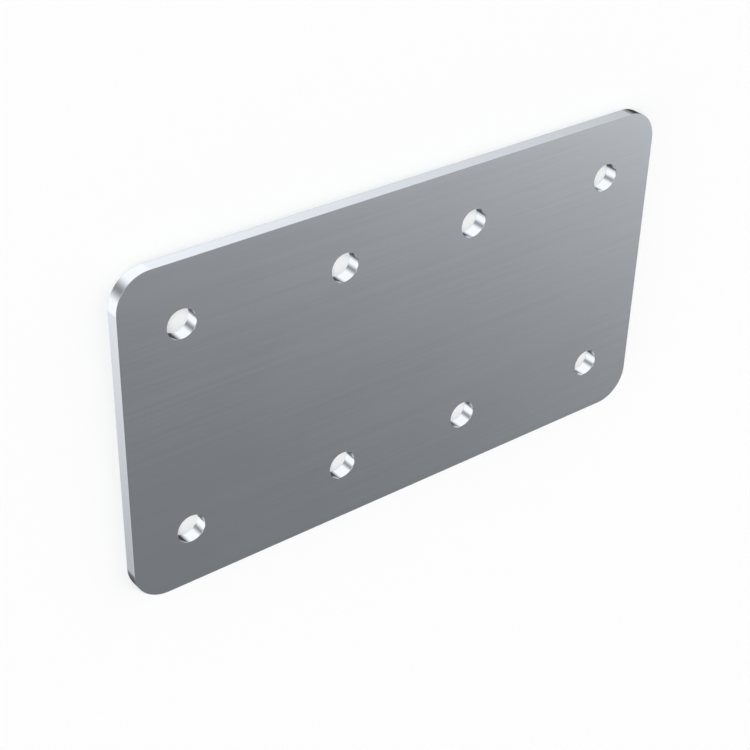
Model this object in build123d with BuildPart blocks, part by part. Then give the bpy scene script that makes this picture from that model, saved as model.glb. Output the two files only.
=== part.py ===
from build123d import *
import os

# Flat connector plate that bolts two members together.
# It is one piece, cut from sheet metal, with four rounded corners and eight bolt holes.
# All lengths are in millimetres.
# The origin is the centre of the mating face, which the plate lies on.
# +X runs along the plate, +Y across it and +Z out of its front face.

# Blank
plate_length = 180.0
plate_width = 100.0
plate_thickness = 4.0
corner_radius = 10.0

# Bolt holes: a group near each end, one for each member
hole_diameter = 8.5  # clearance for an M8 bolt
end_margin = 18.0  # from a short edge to the nearest hole centres
side_margin = 18.0  # from a long edge to the nearest hole centres
column_spacing = 50.0  # between a group's hole centres, along the plate
columns_in_group = 2
rows_in_group = 2

# Deburring, on both faces
edge_rounding = 0.1  # radius left along the outline
rim_chamfer = 0.1  # cut off each hole's rim

# Layout that follows from the sizes above
row_spacing = (plate_width - 2 * side_margin) / (rows_in_group - 1)
group_length = column_spacing * (columns_in_group - 1)
group_centre = plate_length / 2 - end_margin - group_length / 2
mating_face = Plane.XY
front_face = mating_face.offset(plate_thickness)

with BuildPart() as connector_plate:
    # Blank: a rectangle with rounded corners, as thick as the sheet
    with BuildSketch(mating_face):
        RectangleRounded(plate_length, plate_width, corner_radius)
    extrude(amount=plate_thickness)

    # Outline of both faces, rounded over
    flat_faces = connector_plate.faces().filter_by(Axis.Z)
    fillet(flat_faces.edges(), radius=edge_rounding)

    # Bolt holes, drilled right through from the front face
    with Locations(front_face):
        with Locations((-group_centre, 0), (group_centre, 0)):
            with GridLocations(column_spacing, row_spacing, columns_in_group, rows_in_group):
                Hole(radius=hole_diameter / 2)

    # Rims of the holes, where each meets the two faces
    hole_rims = connector_plate.edges(Select.LAST).filter_by(GeomType.CIRCLE)
    chamfer(hole_rims, length=rim_chamfer)

connector_plate.part.label = "connector_plate"

os.makedirs("parts", exist_ok=True)
export_step(connector_plate.part, "parts/connector_plate.step")
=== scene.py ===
import math

import bpy
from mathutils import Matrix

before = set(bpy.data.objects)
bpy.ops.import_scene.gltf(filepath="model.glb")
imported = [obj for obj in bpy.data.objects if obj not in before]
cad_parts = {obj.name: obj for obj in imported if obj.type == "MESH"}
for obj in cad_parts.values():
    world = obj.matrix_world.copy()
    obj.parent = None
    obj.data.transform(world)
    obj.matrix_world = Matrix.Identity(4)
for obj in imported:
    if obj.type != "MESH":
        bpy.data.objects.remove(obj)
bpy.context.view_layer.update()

# Flat connector plate, lying on a pale studio floor.
# The plate is the CAD node itself: its shape stays, and it gets a procedural metal.
# Lengths are in metres, in the frame of the CAD model.

# Photograph
PIXELS = 750  # its width and its height
FOCAL_PIXELS = 1653.5  # its focal length, in pixels
SENSOR_WIDTH = 36.0  # millimetres

# Camera, above the plate's corner at +X -Y and rolled as the photographed plate is
CAMERA_PLACE = (0.24862, -0.24444, 0.30851)
CAMERA_TURN = (-33.925, -37.083, -178.351)  # degrees about X, Y and Z
CAMERA_NEAREST = 0.01  # anything nearer isn't seen

# Floor
FLOOR_SIZE = 60.0
FLOOR_GAP = 0.00002  # keeps the floor clear of the plate's lower face
FLOOR_COLOUR = (0.95, 0.95, 0.95, 1.0)

# Overhead light, soft and even over the whole floor
OVERHEAD_STRENGTH = 1.92
OVERHEAD_SPREAD = 45.0  # degrees
OVERHEAD_TURN = (24.0, 24.0, 0.0)  # degrees off straight down, so that it reaches into the holes

# Studio. A height is the upright part of a direction: 1 is straight up and -1 straight down.
# A level is a brightness, where 1 is white.
WHITE = (1.0, 1.0, 1.0, 1.0)
CEILING_FADES_IN = (0.05, 0.25)  # heights, above the white horizon
WALLS_FADE_OUT = (-0.15, -0.02)  # heights, below the white horizon
WALL_FOOT_TO_HEAD = (-0.77, -0.62)  # heights between which the walls change

# Ceiling: rings round an axis that points to each side, along Y and a little upwards.
# The bright ring is a long soft box that runs along X, and the others are grey.
SIDE_AXIS_RAISED = 17.0  # degrees above the horizon
CEILING_LEVELS = [  # (cosine of the angle from the axis, level)
    (0.0, 0.4),
    (0.29, 0.5),
    (0.42, 1.05),
    (0.57, 0.62),
    (0.65, 0.39),
    (0.73, 0.26),
    (0.8, 0.23),
]

# Low walls, which the plate's cut edges and holes mirror: (azimuth in degrees, level)
WALL_FOOT_LEVELS = [
    (-180, 0.05),
    (-119.5, 1.3),
    (-69, 1.33),
    (-26, 0.35),
    (16, 1.33),
    (38, 1.3),
    (81, 0.18),
    (100, 0.1),
    (160, 0.1),
    (180, 0.05),
]
WALL_HEAD_LEVELS = [
    (-176, 0.05),
    (-126, 1.33),
    (-60, 1.33),
    (-24.5, 0.42),
    (8, 1.33),
    (36.5, 1.33),
    (78, 0.1),
    (160, 0.1),
    (180, 0.05),
]

# Metal
METAL_COLOUR = (0.70, 0.736, 0.788)
COLOUR_REACH = 0.008  # share of the colour, to either side
FACE_ROUGHNESS = 0.22
FACE_ROUGHNESS_REACH = 0.008
EDGE_ROUGHNESS = 0.06
EDGE_ROUGHNESS_REACH = 0.02
EDGE_TO_FACE = (0.5, 0.95)  # upright part of the surface's direction, from cut edge to flat face
RELIEF_DEPTH = 0.00001
RELIEF_STRENGTH = 0.2

# Metal's patterns: cells per metre along X, Y and Z, and layers of detail
ROLLED_GRAIN = (30.0, 3500.0, 3500.0), 3.0
ROLLED_STREAKS = (9.0, 900.0, 900.0), 2.0
CUTTING_MARKS = (2600.0, 2600.0, 90.0), 2.0
CLOUDS = (38.0, 38.0, 38.0), 3.0
PATTERN_LIMITS = (0.3, 0.7)  # between these the noise is eased from 0 to 1


def add(tree, kind, inputs=None, **settings):
    """Adds a node, sets its own properties, and sets or joins its inputs."""
    made = tree.nodes.new(kind)
    for name, value in settings.items():
        setattr(made, name, value)
    for name, value in (inputs or {}).items():
        if isinstance(value, bpy.types.NodeSocket):
            tree.links.new(value, made.inputs[name])
        else:
            made.inputs[name].default_value = value
    return made


def maths(tree, operation, *values):
    """Works on one to three values."""
    return add(tree, "ShaderNodeMath", dict(enumerate(values)), operation=operation).outputs[0]


def smooth(tree, value, limits):
    """Eases from 0 to 1 while the value goes from the first limit to the second."""
    start, end = limits
    inputs = {"Value": value, "From Min": start, "From Max": end}
    return add(tree, "ShaderNodeMapRange", inputs, interpolation_type="SMOOTHSTEP").outputs["Result"]


def blend(tree, share, first, second, kind="FLOAT"):
    """Mixes two values or colours."""
    slots = {"FLOAT": (0, 2, 3), "RGBA": (0, 6, 7)}[kind]
    output = {"FLOAT": 0, "RGBA": 2}[kind]
    inputs = dict(zip(slots, (share, first, second)))
    return add(tree, "ShaderNodeMix", inputs, data_type=kind).outputs[output]


def ramp(tree, value, stops, between="EASE"):
    """Turns a value into a grey. Each stop is (position, level)."""
    made = add(tree, "ShaderNodeValToRGB", {"Fac": value})
    band = made.color_ramp
    band.interpolation = between
    while len(band.elements) < len(stops):
        band.elements.new(0.5)
    for element, (position, level) in zip(band.elements, stops):
        element.position = position
        element.color = (level, level, level, 1.0)
    return made.outputs["Color"]


def ring(tree, direction, stops):
    """Turns a direction's azimuth into a grey. Each stop is (azimuth in degrees, level)."""
    around = add(tree, "ShaderNodeTexGradient", {"Vector": direction}, gradient_type="RADIAL")
    return ramp(tree, around.outputs["Fac"], [((azimuth + 180) / 360, level) for azimuth, level in stops])


def build_studio():
    world = bpy.data.worlds.new("studio")
    world.use_nodes = True
    bpy.context.scene.world = world
    tree = world.node_tree
    tree.nodes.clear()
    direction = add(tree, "ShaderNodeTexCoord").outputs["Generated"]
    parts = add(tree, "ShaderNodeSeparateXYZ", {0: direction}).outputs
    height = parts["Z"]

    # Ceiling, down to a white horizon
    raised = math.radians(SIDE_AXIS_RAISED)
    from_axis = maths(tree, "MULTIPLY", maths(tree, "ABSOLUTE", parts["Y"]), math.cos(raised))
    from_axis = maths(tree, "MULTIPLY_ADD", height, math.sin(raised), from_axis)
    ceiling = ramp(tree, from_axis, CEILING_LEVELS, between="CARDINAL")
    upper = blend(tree, smooth(tree, height, CEILING_FADES_IN), WHITE, ceiling, "RGBA")

    # Low walls
    foot = ring(tree, direction, WALL_FOOT_LEVELS)
    head = ring(tree, direction, WALL_HEAD_LEVELS)
    lower = blend(tree, smooth(tree, height, WALL_FOOT_TO_HEAD), foot, head, "RGBA")

    whole = blend(tree, smooth(tree, height, WALLS_FADE_OUT), lower, upper, "RGBA")
    light = add(tree, "ShaderNodeBackground", {"Color": whole})
    add(tree, "ShaderNodeOutputWorld", {"Surface": light.outputs[0]})


def build_overhead():
    lamp = bpy.data.lights.new("overhead", "SUN")
    lamp.energy = OVERHEAD_STRENGTH
    lamp.angle = math.radians(OVERHEAD_SPREAD)
    overhead = bpy.data.objects.new("overhead", lamp)
    bpy.context.collection.objects.link(overhead)
    overhead.rotation_euler = [math.radians(angle) for angle in OVERHEAD_TURN]
    overhead.visible_glossy = False


def build_floor():
    half = FLOOR_SIZE / 2
    corners = [(-half, -half), (half, -half), (half, half), (-half, half)]
    mesh = bpy.data.meshes.new("floor")
    mesh.from_pydata([(x, y, -FLOOR_GAP) for x, y in corners], [], [(0, 1, 2, 3)])
    floor = bpy.data.objects.new("floor", mesh)
    bpy.context.collection.objects.link(floor)
    # The metal mirrors the studio's low walls in its place
    floor.visible_glossy = False

    material = bpy.data.materials.new("floor")
    material.use_nodes = True
    tree = material.node_tree
    tree.nodes.clear()
    matt = add(tree, "ShaderNodeBsdfDiffuse", {"Color": FLOOR_COLOUR})
    add(tree, "ShaderNodeOutputMaterial", {"Surface": matt.outputs[0]})
    mesh.materials.append(material)


def pattern(tree, place, cells, detail):
    """Noise that runs from 0 to 1."""
    scaled = add(tree, "ShaderNodeMapping", {"Vector": place, "Scale": cells}).outputs[0]
    noise = add(tree, "ShaderNodeTexNoise", {"Vector": scaled, "Scale": 1.0, "Detail": detail})
    return smooth(tree, noise.outputs["Fac"], PATTERN_LIMITS)


def vary(tree, noise, middle, reach):
    """Swings a value by its reach to either side of the middle."""
    return maths(tree, "MULTIPLY_ADD", noise, 2 * reach, middle - reach)


def build_metal():
    material = bpy.data.materials.new("plate_metal_finish")
    material.use_nodes = True
    tree = material.node_tree
    shader = tree.nodes["Principled BSDF"]
    coordinates = add(tree, "ShaderNodeTexCoord")
    place = coordinates.outputs["Object"]
    upright = add(tree, "ShaderNodeSeparateXYZ", {0: coordinates.outputs["Normal"]}).outputs["Z"]
    on_face = smooth(tree, maths(tree, "ABSOLUTE", upright), EDGE_TO_FACE)

    # Rolled grain along the sheet, on both faces
    grain = pattern(tree, place, *ROLLED_GRAIN)
    streaks = pattern(tree, place, *ROLLED_STREAKS)
    # Upright marks left by the cutting, on the outline and in the holes
    marks = pattern(tree, place, *CUTTING_MARKS)
    # Slight unevenness of the rolled surface
    clouds = pattern(tree, place, *CLOUDS)

    streaked = vary(tree, streaks, FACE_ROUGHNESS, FACE_ROUGHNESS_REACH)
    face_roughness = maths(tree, "ADD", streaked, vary(tree, clouds, 0.0, FACE_ROUGHNESS_REACH))
    edge_roughness = vary(tree, marks, EDGE_ROUGHNESS, EDGE_ROUGHNESS_REACH)
    tree.links.new(blend(tree, on_face, edge_roughness, face_roughness), shader.inputs["Roughness"])

    darker = tuple(part * (1 - COLOUR_REACH) for part in METAL_COLOUR) + (1.0,)
    paler = tuple(part * (1 + COLOUR_REACH) for part in METAL_COLOUR) + (1.0,)
    tree.links.new(blend(tree, streaks, darker, paler, "RGBA"), shader.inputs["Base Color"])

    height = blend(tree, on_face, marks, grain)
    depths = {"Height": height, "Strength": RELIEF_STRENGTH, "Distance": RELIEF_DEPTH}
    tree.links.new(add(tree, "ShaderNodeBump", depths).outputs[0], shader.inputs["Normal"])
    shader.inputs["Metallic"].default_value = 1.0
    return material


def build_camera():
    data = bpy.data.cameras.new("camera")
    data.sensor_width = SENSOR_WIDTH
    data.lens = SENSOR_WIDTH * FOCAL_PIXELS / PIXELS
    data.clip_start = CAMERA_NEAREST
    camera = bpy.data.objects.new("camera", data)
    bpy.context.collection.objects.link(camera)
    camera.location = CAMERA_PLACE
    camera.rotation_euler = [math.radians(angle) for angle in CAMERA_TURN]
    bpy.context.scene.camera = camera


build_camera()
build_studio()
build_overhead()
build_floor()

metal = build_metal()
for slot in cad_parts["connector_plate"].material_slots:
    slot.material = metal

bpy.context.scene.view_settings.view_transform = "Standard"
